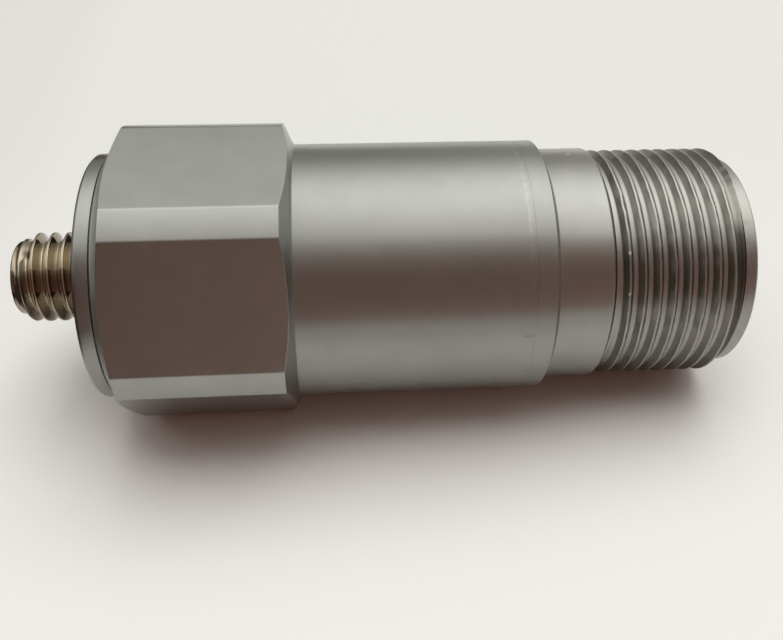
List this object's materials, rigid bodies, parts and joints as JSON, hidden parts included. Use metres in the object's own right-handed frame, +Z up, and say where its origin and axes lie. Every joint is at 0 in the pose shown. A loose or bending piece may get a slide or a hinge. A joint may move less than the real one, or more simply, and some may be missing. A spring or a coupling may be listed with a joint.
{
  "type": "vibration sensor",
  "caption": "Industrial vibration sensor: hexagon base with mounting stud and face, turned steel tube, and threaded connector end with a recessed pin socket.",
  "frame": {"origin": "on the surface that the sensor lies on, under the middle of its bounding box", "axes": "+X along the sensor's axis towards the connector end, +Z up, with one hexagon flat on the ground"},
  "size_m": [0.0628, 0.0264, 0.024],
  "materials": {
    "satin_steel": "satin stainless steel, fine turned and milled",
    "turned_steel": "turned stainless steel with a cut thread and small burrs",
    "bright_steel": "bright rolled thread, slightly warm",
    "inner_steel": "machined",
    "tinned_steel": "tinned sheet",
    "tungsten": "sintered and ground tungsten alloy",
    "gold_plate": "gold plated",
    "silver_foil": "silvered foil",
    "alumina": "ground white ceramic",
    "piezo_ceramic": "fired and lapped",
    "amber_polymer": "smooth",
    "black_plastic": "moulded",
    "black_rubber": "moulded",
    "green_laminate": "lacquered laminate",
    "tan_resin": "moulded resin",
    "white_lead": "smooth wire cover",
    "red_lead": "smooth wire cover"
  },
  "bodies": {
    "root": {"mounting_stud": "bright_steel", "housing": "satin_steel", "connector_shell": "turned_steel", "isolation_disc": "alumina", "isolation_sleeve": "amber_polymer", "shield_cup": "tinned_steel", "shield_cap": "tinned_steel", "lead_grommet": "amber_polymer", "sensor_post": "inner_steel", "piezo_ring": "piezo_ceramic", "electrode_sleeve": "silver_foil", "seismic_mass": "tungsten", "preload_ring": "inner_steel", "clamp_washer": "inner_steel", "clamp_nut": "inner_steel", "spacer_tube": "inner_steel", "insulating_plate": "green_laminate", "standoff_1": "inner_steel", "standoff_2": "inner_steel", "standoff_3": "inner_steel", "circuit_board": "green_laminate", "amplifier_chip": "black_plastic", "capacitor_1": "tan_resin", "capacitor_2": "tan_resin", "resistor_1": "black_plastic", "resistor_2": "black_plastic", "resistor_3": "black_plastic", "signal_lead": "red_lead", "ground_lead": "white_lead", "output_lead_1": "red_lead", "output_lead_2": "white_lead", "insert_seal": "black_rubber", "connector_insert": "black_plastic", "retaining_ring": "inner_steel", "contact_pin_1": "gold_plate", "contact_pin_2": "gold_plate"}
  },
  "joints": []
}
